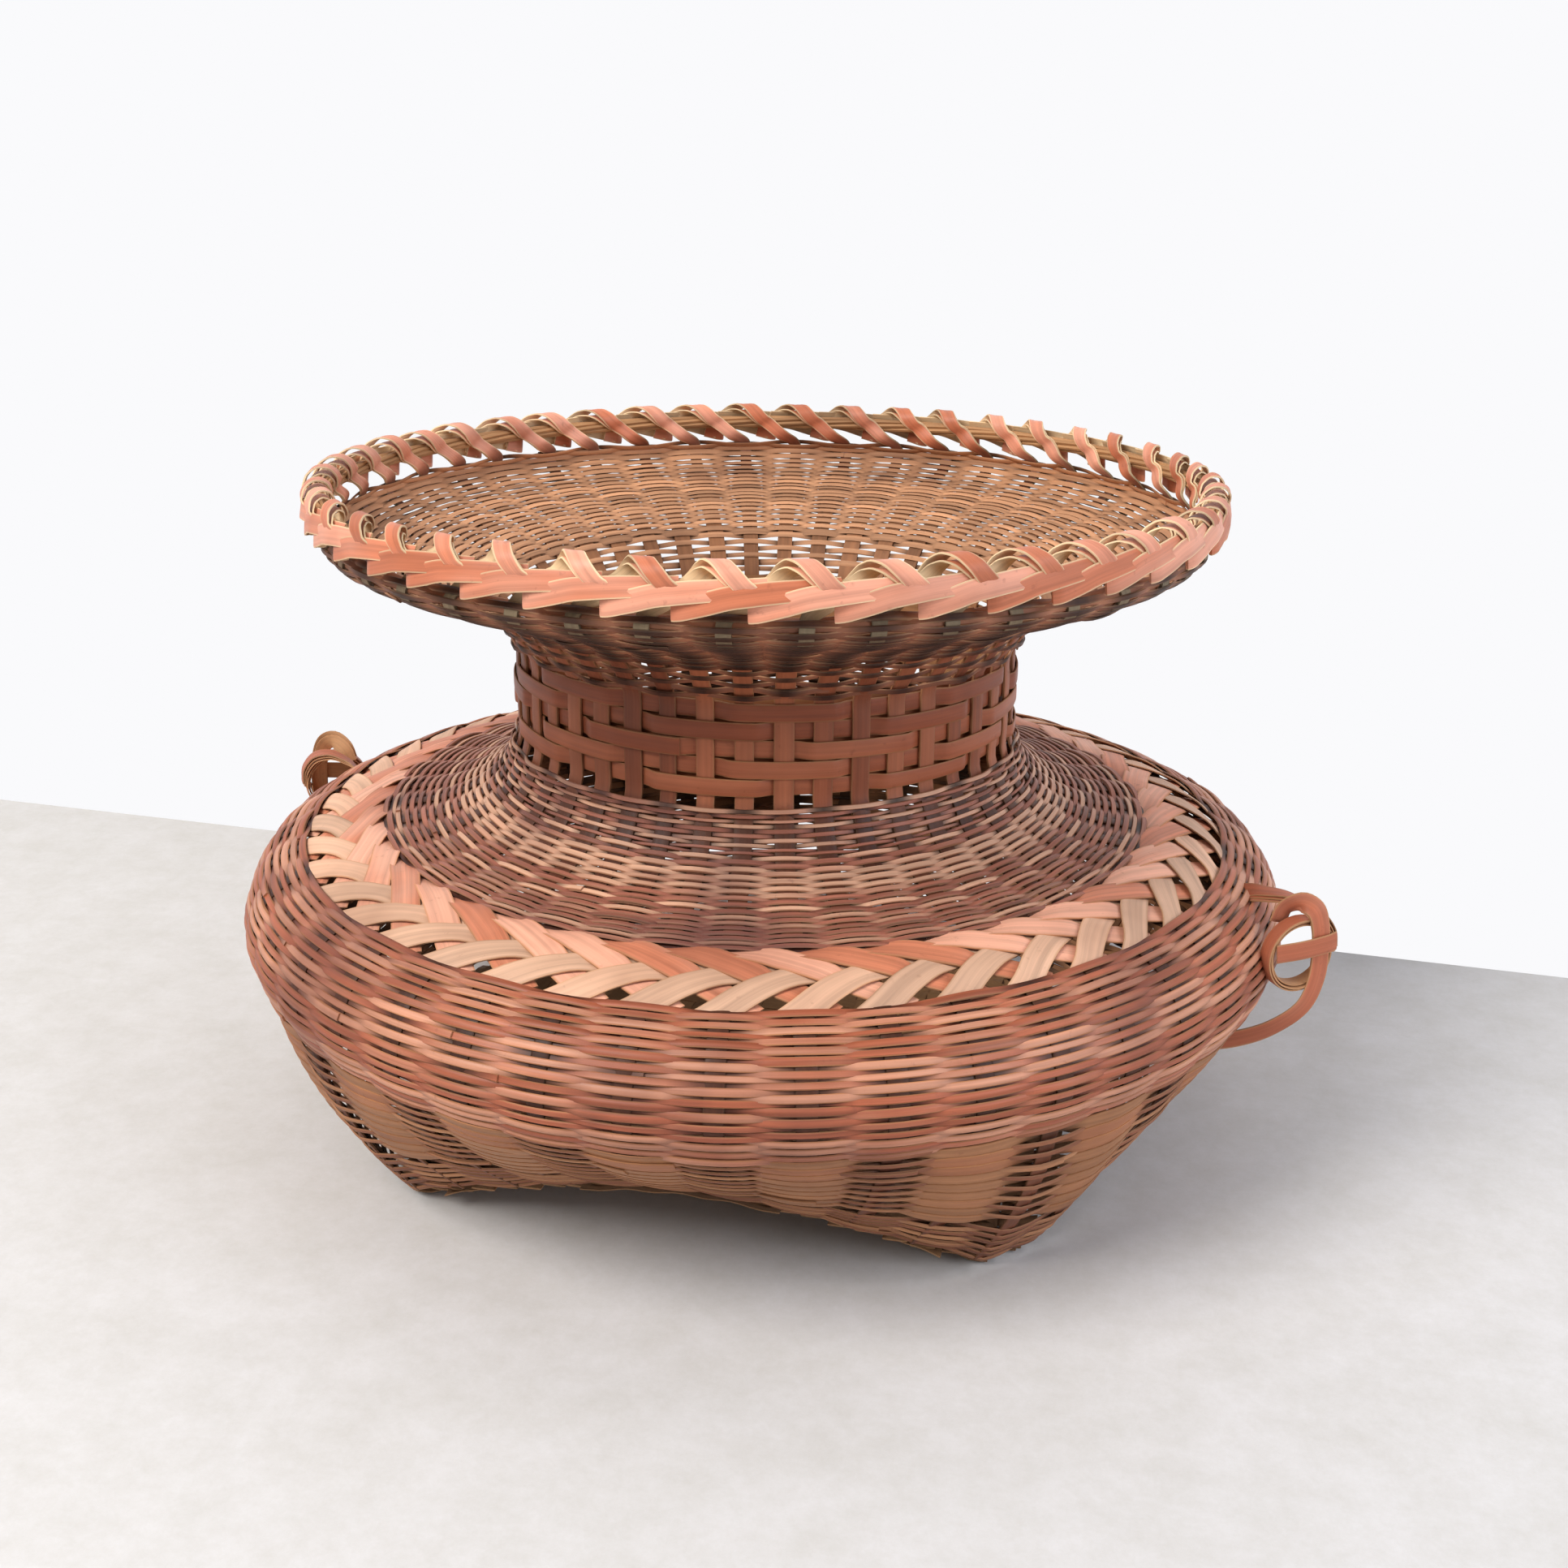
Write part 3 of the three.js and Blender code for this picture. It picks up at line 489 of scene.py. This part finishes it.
reds = [braid_strip(k, RED_WAY, RED_LIFT, RED_WIDTH, hand.random()) for k in range(STAKES)]
tans = [braid_strip(k, TAN_WAY, TAN_LIFT, TAN_WIDTH, hand.random()) for k in range(STAKES)]
red_finish = bamboo(
    "red braid strips", (216, 134, 100), (220, 166, 140), (190, 134, 96), (126, 70, 54),
    0.8, 0.9, 0.4, 0.2, 0.00008,
)
tan_finish = bamboo(
    "tan braid strips", (220, 176, 146), (200, 156, 128), (196, 150, 114), (136, 98, 76),
    0.8, 0.7, 0.4, 0.12, 0.0001,
)
piece("shoulder_red_strips", reds, red_finish, "bamboo skin", "shoulder_braid")
piece("shoulder_tan_strips", tans, tan_finish, "bamboo skin", "shoulder_braid")

# Shoulder cone. The same fine weave with closer strands, drawn in from the braid to the foot of the neck, where
# the last rows stand a little apart.
CONE_PITCH = 2.08
CONE_WIDTH = 2.6
CONE_SWING = 1.15
CONE_OPEN_PART = 22
cone_rows = []
for row in range(int(cone_length / CONE_PITCH)):
    height = 1.0 + row * CONE_PITCH
    width = CONE_WIDTH * (1 + 0.12 * hand.standard_normal())
    squeeze = 1 if height < cone_length - CONE_OPEN_PART else 0.75
    shape = (width * squeeze, FINE_THICKNESS, CONE_SWING, (-1) ** row)
    cone_rows.append(woven_row(cone_wall, height, *shape, hand.random(), wander=0.4))
cone_finish = bamboo(
    "cone strands", (162, 100, 80), (196, 154, 126), (150, 102, 74), (92, 60, 58),
    0.85, 1.2, 0.7, 0.18, 0.0001,
)
piece("cone_fine_weave", cone_rows, cone_finish, "fine weave", "shoulder_cone")

# Neck strip. One flat strip wound down the neck in a spiral, over three stakes and under three, with one join
# whose square end lies in front. It is the glossiest and darkest piece.
LATTICE_WIDTH = 8
LATTICE_THICKNESS = 0.9
LATTICE_SIDE = 1.55
LATTICE_TOP = 245.7
LATTICE_BOTTOM = 202.4
LATTICE_CENTRE = 247.7
LATTICE_DROP = 8.7 / STAKES
LATTICE_CROSSINGS = 239
LATTICE_JOIN = 120.4
LATTICE_LAP = 2.2


def lattice_strip(first, last, lap_from, tone):
    crossing = np.arange(first, last, 1 / 8)
    angle = crossing * PITCH
    nearest = np.floor(crossing)
    over = np.where(np.floor((nearest + 2) / 3) % 2 == 0, 1.0, -1.0)
    following = np.where(np.floor((nearest + 3) / 3) % 2 == 0, 1.0, -1.0)
    share = np.clip((crossing - nearest - 0.26) / 0.48, 0, 1)
    side = over + (following - over) * share * share * (3 - 2 * share)
    centre = LATTICE_CENTRE - LATTICE_DROP * crossing
    top = np.minimum(centre + LATTICE_WIDTH / 2, LATTICE_TOP)
    bottom = np.maximum(centre - LATTICE_WIDTH / 2, LATTICE_BOTTOM)
    lift = LATTICE_SIDE * side + np.clip((crossing - lap_from) / 0.4, 0, 1) * LATTICE_THICKNESS
    path = spun(angle, NECK_RADIUS + lift, (top + bottom) / 2)
    return strand(path, (0, 0, 1), spun(angle, 1.0 + 0 * angle, 0), top - bottom, LATTICE_THICKNESS, tone)


lap_start = LATTICE_JOIN - LATTICE_LAP
lattice = [
    lattice_strip(0, LATTICE_JOIN, lap_start, 0.3),
    lattice_strip(lap_start, LATTICE_CROSSINGS, LATTICE_CROSSINGS, 0.62),
]
lattice_finish = bamboo(
    "neck strip", (142, 74, 46), (162, 96, 66), (150, 104, 68), (86, 44, 32),
    0.8, 0.7, 0.45, 0.22, 0.0001,
)
piece("neck_lattice_strip", lattice, lattice_finish, "bamboo skin", "neck_strip")

# Neck lining. A wide band of split bamboo that stands inside the lattice, its ends lapped at the back.
LINING_RADIUS = 117.6
LINING_MIDDLE = 225.2
LINING_WIDTH = 41
LINING_THICKNESS = 0.9
LINING_LAP = 0.3
LINING_START = math.radians(70)
angle = np.linspace(0, 2 * math.pi + LINING_LAP, 150) + LINING_START
path = spun(angle, LINING_RADIUS - 1.2 * (angle - angle[0]) / 7 - 0.2, LINING_MIDDLE)
lining = strand(path, (0, 0, 1), spun(angle, 1 + 0 * angle, 0), LINING_WIDTH, LINING_THICKNESS, 0.5)
lining_finish = bamboo(
    "lining band", (158, 92, 58), (140, 80, 52), (160, 112, 74), (80, 44, 32),
    0.7, 0.8, 0.55, 0.12, 0.00012,
)
piece("neck_lining_band", [lining], lining_finish, "stake bamboo", "neck_lining")

# Dish. The fine weave starts again above the neck, with its first rows wide apart, and opens into a shallow bowl with
# a round lip just under the rim. Its inside, the side that is looked into, is paler and drier.
DISH_PITCH = 2.15
DISH_WIDTH = 3.0
DISH_SWING = 1.15
SPARSE_PITCH = 3.9
SPARSE_WIDTH = 2.9
SPARSE_ROWS = 6
heights, height = [], 1.6
while height < dish_length - 0.8:
    heights.append(height)
    height += SPARSE_PITCH if len(heights) < SPARSE_ROWS else DISH_PITCH
dish_rows = []
for row, height in enumerate(heights):
    width = (SPARSE_WIDTH if row < SPARSE_ROWS else DISH_WIDTH) * (1 + 0.12 * hand.standard_normal())
    shape = (width, FINE_THICKNESS, DISH_SWING, (-1) ** row)
    dish_rows.append(woven_row(dish_wall, height, *shape, hand.random(), wander=0.35, seen=-1))
dish_finish = bamboo(
    "dish strands", (136, 86, 64), (162, 108, 80), (184, 134, 98), (84, 48, 36),
    0.8, 1.2, 0.6, 0.12, 0.00008,
)
piece("dish_fine_weave", dish_rows, dish_finish, "fine weave", "collar")

# Rim core. A bundle of seven thin rods, laid round together, that the stakes' ends are rolled over.
RIM_RADIUS = 210
RIM_HEIGHT = 315.5
ROD = 1.25
rods = []
angle = np.linspace(0, 2 * math.pi, 241)
for number in range(7):
    out = 0 if number == 0 else 2 * ROD * 0.93
    turn = number * math.pi / 3 + 5 * angle
    radial, up = out * np.cos(turn), out * np.sin(turn)
    turned = np.linspace(0, 2 * math.pi, 6, endpoint=False)
    rod_cut = np.stack([np.sin(turned), -np.cos(turned)], -1) * 0.5
    path = spun(angle, RIM_RADIUS + radial, RIM_HEIGHT + up)
    rods.append(strand(path, (0, 0, 1), spun(angle, 1 + 0 * angle, 0), 2 * ROD, 2 * ROD, hand.random(), rod_cut))
core_finish = bamboo(
    "core rods", (176, 130, 88), (150, 98, 64), (176, 130, 88), (100, 62, 44),
    0.8, 0.5, 0.3, 0.1, 0.0001,
)
piece("rim_core_rods", rods, core_finish, "bamboo pith", "rim_core")

# Rolled rim. Each stake's end, split into two plies, leaves the dish's edge, leans up inside the core, arches over it
# and comes down outside. There it turns back at its foot and runs on for two stakes, and a later loop holds its tip.
SNUG = 5.135
RUN_WIDTH = 9.2
LOOP_WIDTH = 7.3
POST_WIDTH = 6.2
PLY = 1.05
LOOP_LIFT = 5.9
FRONT_LIFT = 1.3
PLY_SAG = 2.1
LOOP = ((180, 0.55), (155, 0.67), (130, 0.79), (105, 0.91), (80, 1.04), (55, 1.18), (30, 1.32), (8, 1.43))
POST = [(0, -13, -24.8), (0, -4.2, -19.9), (0, -1.3, -15), (0.03, -3.6, -11), (0.28, -6.4, -6)]
LEG = [(1.55, SNUG - 0.3, -3.5), (1.62, SNUG - 0.6, -6), (1.66, SNUG - 0.8, -8)]
FOLD_AT = 1.4
FOLD_LENGTH = 0.34
RUN_SHAPE = [(0, -6.6), (0.06, -6.3), (0.44, -3.3), (0.8, -0.5), (1.33, 1.3), (1.9, 2.3), (2.12, 2.8)]
RUN_DEPTH = [(0, 4.4), (0.06, 5.5), (0.15, 6.3), (0.5, 6.8), (0.95, 7), (1.1, 6.7), (1.35, 5.9), (1.7, 5.1)]
RUN_DEPTH += [(1.9, 4.2), (2.12, 3.2)]
RIM_STEP = RIM_RADIUS * PITCH


def on_rim(start, steps, out, up):
    angle = start + steps * PITCH
    return spun(angle, RIM_RADIUS + out, RIM_HEIGHT + up)


def rim_directions(start, steps, out, up):
    angle = start + steps * PITCH
    return np.stack([out * np.cos(angle), out * np.sin(angle), up], -1)


def unit(vectors):
    return vectors / np.linalg.norm(vectors, axis=-1, keepdims=True)


def rim_strip(start, keys, out, up, width, tone):
    """A strip through places given along the rim, out and up, lying with its skin out from the given side."""
    line = flowing(np.array(keys) * (RIM_STEP, 1, 1), 1.3)
    steps = line[:, 0] / RIM_STEP
    path = on_rim(start, steps, line[:, 1], line[:, 2])
    along = directions(path)
    across = unit(np.cross(rim_directions(start, steps, *(side(line) for side in (out, up))), along))
    share = np.linspace(0, 1, len(line))
    # Painted shade: the strip's start, low down under the core at the dish's edge, is darkened.
    shaded = np.interp(share, (0, 0.24, 0.36), (0.1, 0.3, 1))
    return strand(path, across, np.cross(along, across), np.interp(share, *width), PLY, tone, painted_shade=shaded)


def rim_band(start, tone, long, lift):
    """A stake's end on the rim: the outer and the inner ply of its loop, and its run."""
    made = []
    for ply in (0, 1):
        sag = ply * (PLY + 0.15)
        keys = [(s, r + sag * 0.6, z - sag * 0.4) for s, r, z in POST]
        for turn, steps in LOOP:
            radius = SNUG - sag + (LOOP_LIFT * lift - PLY_SAG * ply) * math.sin(math.radians(turn)) ** 1.4
            keys.append((steps, radius * math.cos(math.radians(turn)), radius * math.sin(math.radians(turn))))
        keys += [(s, r - sag, z) for s, r, z in LEG]

        def rolled_out(line):
            return -directions(line)[:, 2]

        def rolled_up(line):
            return directions(line)[:, 1]

        width = ([0, 0.25, 0.5, 1], [POST_WIDTH, POST_WIDTH, LOOP_WIDTH, LOOP_WIDTH])
        made.append(rim_strip(start, keys, rolled_out, rolled_up, width, tone + 0.1 * ply))

    back, bottom = RUN_DEPTH[0][1] - 1.5, RUN_SHAPE[0][1]
    keys = [(FOLD_AT + FOLD_LENGTH, back - 0.2, bottom + 2.2), (FOLD_AT + 0.08, back, bottom + 0.3)]
    keys.append((FOLD_AT, back + 1.5, bottom))
    shares = np.array([0.05, 0.13, 0.26, 0.44, 0.7, 0.95, 1.2, 1.45, 1.7, 1.9, 2.12])
    ups = flowing(RUN_SHAPE, 0.05)
    outs = np.interp(shares, *np.transpose(RUN_DEPTH))
    keys += [(FOLD_AT + share * long, out, np.interp(share, ups[:, 0], ups[:, 1])) for share, out in zip(shares, outs)]

    line = flowing(np.array(keys) * (RIM_STEP, 1, 1), 0.8)
    steps = line[:, 0] / RIM_STEP
    path = on_rim(start, steps, line[:, 1], line[:, 2])
    slope = directions(line)
    bend = np.arctan2(slope[:, 1], slope[:, 0])
    angle = start + steps * PITCH
    around = np.stack([-np.sin(angle), np.cos(angle), 0 * angle], -1)
    outward = np.stack([np.cos(angle), np.sin(angle), 0 * angle], -1)
    along = directions(path)
    share = np.clip((steps - FOLD_AT) / 2.12, 0, 1)
    face = outward * np.cos(bend)[:, None] - around * np.sin(bend)[:, None]
    face[:, 2] += (0.1 + 0.5 * share**2) * np.cos(bend)
    across = unit(np.cross(face, along))
    made.append(strand(path, across, np.cross(along, across), RUN_WIDTH - 1.8 * share**3, PLY * 0.9, tone))
    return made


rim_bands = []
for number in range(STAKES):
    start = (number + 0.05 * hand.standard_normal()) * PITCH
    lift = 1 - (FRONT_LIFT / LOOP_LIFT) * math.sin(start) + 0.08 * hand.standard_normal()
    rim_bands += rim_band(start, hand.random(), 1 + 0.02 * hand.standard_normal(), lift)
rim_finish = bamboo(
    "rim bands", (204, 120, 86), (210, 150, 126), (222, 194, 154), (122, 64, 48),
    0.8, 0.9, 0.35, 0.22, 0.0001,
)
piece("rim_rolled_bands", rim_bands, rim_finish, "bamboo skin", "rolled_rim")

# Ears. On each side a small ring of three turns of strip, whose ends come over from the top of the wall. An arched
# strip passes over the ring and goes into the weave below it, and a short tie crosses over the arch.
EAR_RADIUS = 258.8
EAR_HEIGHT = 121
RING_OUTER = 18.5
RING_WIDTH = 7.5
EAR_STRIP = 9
EAR_THICKNESS = 0.8
RING_THICKNESS = 0.9
RING_TURN = math.radians(45)
EAR_INWARD = 3
EAR_RAISED = 1.6
ear_finish = bamboo(
    "ear strips", (186, 106, 76), (190, 136, 112), (186, 138, 98), (110, 62, 50),
    0.75, 0.7, 0.35, 0.18, 0.0001,
)
for side, azimuth in (("right", -13), ("left", 167)):
    angle = math.radians(azimuth)
    turned = angle + RING_TURN
    out = np.array([math.cos(turned), math.sin(turned), 0])
    front = np.array([math.sin(turned), -math.cos(turned), 0])
    reach = EAR_RADIUS + RING_OUTER * math.cos(RING_TURN)
    centre = np.array([math.cos(angle) * reach, math.sin(angle) * reach, EAR_HEIGHT])
    centre = centre - EAR_INWARD * np.array([math.cos(angle), math.sin(angle), -EAR_RAISED])

    def ear_line(keys, width, tone, on_edge=False):
        """A strip through places given across the ring, up, and out of its plane to the front."""
        line = flowing(keys, 1.5)
        path = centre + np.outer(line[:, 0], out) + np.outer(line[:, 1], (0, 0, 1)) + np.outer(line[:, 2], front)
        along = directions(path)
        if on_edge:
            across = unit(front - along * (along @ front)[:, None])
        else:
            across = unit(np.cross(along, front))
        return strand(path, across, np.cross(across, along), width, EAR_THICKNESS, tone)

    turn = np.linspace(0, 3 * 2 * math.pi, 130)
    radius = RING_OUTER - 0.5 - 1.25 * turn / (2 * math.pi)
    path = centre + np.outer(radius * np.cos(turn), out) + np.outer(radius * np.sin(turn), (0, 0, 1))
    path = path + np.outer(0.8 * np.sin(turn * 0.7), front)
    outward = np.outer(np.cos(turn), out) + np.outer(np.sin(turn), (0, 0, 1))
    ring = strand(path, front, outward, RING_WIDTH - 0.5 * np.cos(turn), RING_THICKNESS, hand.random())
    lead = [(-10, 12, -46), (-7, 18, -36), (-3, 21, -26), (5, 22, -14), (13, 18, -5), (18, 10, -1), (18.8, 2, 0)]
    plies = [[(a - 0.8 * ply, b - 1.3 * ply, c) for a, b, c in lead] for ply in range(3)]
    leads = [ear_line(keys, RING_WIDTH, 0.3 * ply, True) for ply, keys in enumerate(plies)]
    piece(f"ear_{side}_coil", [ring] + leads, ear_finish, "bamboo skin", f"ear_{side}_ring")
    arch = [(-7, 15, -6.5), (-5, 21.5, -5), (0, 25.5, 0), (4.5, 23, 4.4), (7.5, 15, 5.4), (8.8, 2, 5.4)]
    arch += [(8.2, -12, 5.2), (4, -26, 3), (-6, -38, -4), (-18, -46, -13), (-34, -52, -26)]
    plies = [ear_line(arch, EAR_STRIP, 0.4), ear_line([(a, b - 1.5, c - 1.1) for a, b, c in arch], EAR_STRIP - 1, 0.7)]
    piece(f"ear_{side}_arch_strip", plies, ear_finish, "bamboo skin", f"ear_{side}_arch")
    tie = [(-14, 3.2, 4.7), (-1.5, 4.5, 6.8), (12, 5.9, 6.8), (16.5, 6.3, 5.6)]
    piece(f"ear_{side}_tie_strip", [ear_line(tie, EAR_STRIP, 0.2)], ear_finish, "bamboo skin", f"ear_{side}_tie")

# Floor and wall. A plain pale concrete floor and a white wall behind, which is clear when seen from its own back.
# They are not part of the basket.
FLOOR_SIZE = 6
WALL_LINE = ((-0.6467, 0.2998), (0.4402, 0.2319))
WALL_REACH = 3


def sheet_mesh(name, corners, finish):
    mesh = bpy.data.meshes.new(name)
    mesh.from_pydata(corners, [], [(0, 1, 2, 3)])
    mesh.materials.append(finish)
    made = bpy.data.objects.new(name, mesh)
    bpy.context.scene.collection.objects.link(made)
    return made


floor_finish = bpy.data.materials.new("pale concrete")
floor_finish.use_nodes = True
tree = floor_finish.node_tree
place = wire(tree, "ShaderNodeTexCoord").outputs["Object"]
clouds = wire(tree, "ShaderNodeTexNoise", {"Vector": place, "Scale": 26, "Detail": 12, "Roughness": 0.85}).outputs[0]
mottle = wire(tree, "ShaderNodeMapRange", {0: clouds, 1: 0.3, 2: 0.7, 3: 0, 4: 1}).outputs[0]
colour = blend_colour(tree, mottle, paint(196, 193, 188), paint(214, 212, 212))
tree.links.new(colour, tree.nodes["Principled BSDF"].inputs["Base Color"])
tree.nodes["Principled BSDF"].inputs["Roughness"].default_value = 0.75
half = FLOOR_SIZE / 2
sheet_mesh("floor", [(-half, -half, 0), (half, -half, 0), (half, half, 0), (-half, half, 0)], floor_finish)

wall_finish = bpy.data.materials.new("white wall")
wall_finish.use_nodes = True
tree = wall_finish.node_tree
shader = tree.nodes["Principled BSDF"]
shader.inputs["Base Color"].default_value = paint(236, 236, 238)
shader.inputs["Roughness"].default_value = 0.9
seen = wire(tree, "ShaderNodeLightPath").outputs
rays = {0: seen["Is Camera Ray"], 1: seen["Is Glossy Ray"]}
direct = wire(tree, "ShaderNodeMath", rays, operation="MAXIMUM").outputs[0]
direct = wire(tree, "ShaderNodeMath", {0: direct, 1: seen["Is Transmission Ray"]}, operation="MAXIMUM").outputs[0]
glow = wire(tree, "ShaderNodeEmission", {"Color": paint(250, 250, 252), "Strength": 1}).outputs[0]
mix = wire(tree, "ShaderNodeMixShader", {0: direct, 1: shader.outputs[0], 2: glow})
behind = wire(tree, "ShaderNodeNewGeometry").outputs["Backfacing"]
clear = wire(tree, "ShaderNodeBsdfTransparent").outputs[0]
one_sided = wire(tree, "ShaderNodeMixShader", {0: behind, 1: mix.outputs[0], 2: clear})
tree.links.new(one_sided.outputs[0], tree.nodes["Material Output"].inputs["Surface"])
first, second = (Vector((x, y, 0)) for x, y in WALL_LINE)
way = (second - first).normalized()
left, right = first - way * WALL_REACH, second + way * WALL_REACH
sheet_mesh("wall", [left, right, right + Vector((0, 0, 3)), left + Vector((0, 0, 3))], wall_finish)

# Light and camera. A large soft window light from the left front, a weak one from the right, and an even grey room
# that looks white.
KEY_WATTS = 84
FILL_WATTS = 30
ROOM = 0.35


def soft_light(name, place, aim, size, watts, colour):
    data = bpy.data.lights.new(name, "AREA")
    data.shape, data.size, data.energy, data.color = "DISK", size, watts, colour
    made = bpy.data.objects.new(name, data)
    made.location = place
    made.rotation_euler = (Vector(aim) - Vector(place)).to_track_quat("-Z", "Y").to_euler()
    bpy.context.scene.collection.objects.link(made)


soft_light("window", (-1.3, -1.6, 2.2), (0, 0, 0.15), 1.8, KEY_WATTS, (1, 0.98, 0.95))
soft_light("room_side", (2.2, -0.9, 1.2), (0, 0, 0.15), 1.6, FILL_WATTS, (0.82, 0.88, 1))
world = bpy.data.worlds.new("room")
bpy.context.scene.world = world
world.use_nodes = True
tree = world.node_tree
grey = tree.nodes["Background"]
grey.inputs["Color"].default_value = (1, 1, 1, 1)
grey.inputs["Strength"].default_value = ROOM
white = wire(tree, "ShaderNodeBackground", {"Color": paint(250, 250, 252), "Strength": 1}).outputs[0]
seen = wire(tree, "ShaderNodeLightPath").outputs
rays = {0: seen["Is Camera Ray"], 1: seen["Is Transmission Ray"]}
direct = wire(tree, "ShaderNodeMath", rays, operation="MAXIMUM").outputs[0]
mix = wire(tree, "ShaderNodeMixShader", {0: direct, 1: grey.outputs[0], 2: white})
tree.links.new(mix.outputs[0], tree.nodes["World Output"].inputs["Surface"])

CAMERA_PLACE = (0.2019, -0.9050, 0.4887)
CAMERA_TURN = math.radians(12)
CAMERA_PITCH = 0.335
CAMERA_ROLL = 0.008
lens = bpy.data.cameras.new("camera")
lens.sensor_width = 36
lens.lens = 44.72
camera = bpy.data.objects.new("camera", lens)
bpy.context.scene.collection.objects.link(camera)
bpy.context.scene.camera = camera
sideways = Vector((math.cos(CAMERA_TURN), math.sin(CAMERA_TURN), 0))
ahead = Vector((-math.sin(CAMERA_TURN), math.cos(CAMERA_TURN), 0))
above = ahead * math.sin(CAMERA_PITCH) + Vector((0, 0, math.cos(CAMERA_PITCH)))
right = sideways * math.cos(CAMERA_ROLL) + above * math.sin(CAMERA_ROLL)
upward = above * math.cos(CAMERA_ROLL) - sideways * math.sin(CAMERA_ROLL)
turn = Matrix((right, upward, right.cross(upward))).transposed().to_4x4()
camera.matrix_world = Matrix.Translation(CAMERA_PLACE) @ turn
bpy.context.scene.view_settings.view_transform = "Standard"
